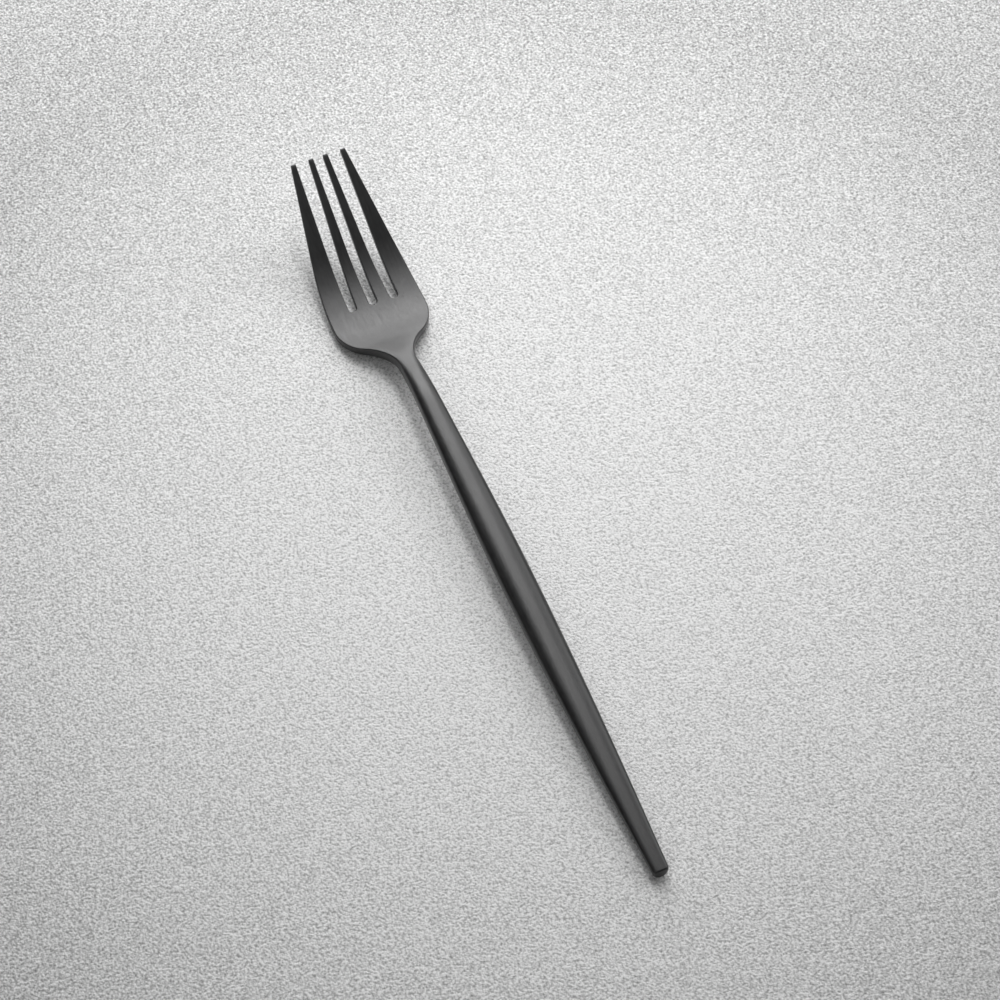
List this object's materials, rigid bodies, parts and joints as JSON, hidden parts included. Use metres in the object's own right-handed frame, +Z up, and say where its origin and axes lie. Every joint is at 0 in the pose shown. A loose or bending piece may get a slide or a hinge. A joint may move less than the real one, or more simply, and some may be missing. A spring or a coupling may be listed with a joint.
{
  "type": "salad fork",
  "caption": "Slim salad fork with a dark satin finish: a cranked head with tapering tines, brazed by its tang into a narrow bar handle.",
  "frame": {"origin": "centre of the fork's box in plan, on the surface that it rests on", "axes": "+Y along the fork from the handle's end to the tips, +Z up out of the bowl side of the tines, +X to the right"},
  "size_m": [0.0218, 0.1844, 0.0176],
  "materials": {
    "head_steel": "satin black coated steel with fine brushing along the fork",
    "handle_steel": "satin black coated steel with fine brushing along the fork"
  },
  "bodies": {
    "root": {"fork_head": "head_steel", "handle": "handle_steel"}
  },
  "joints": []
}
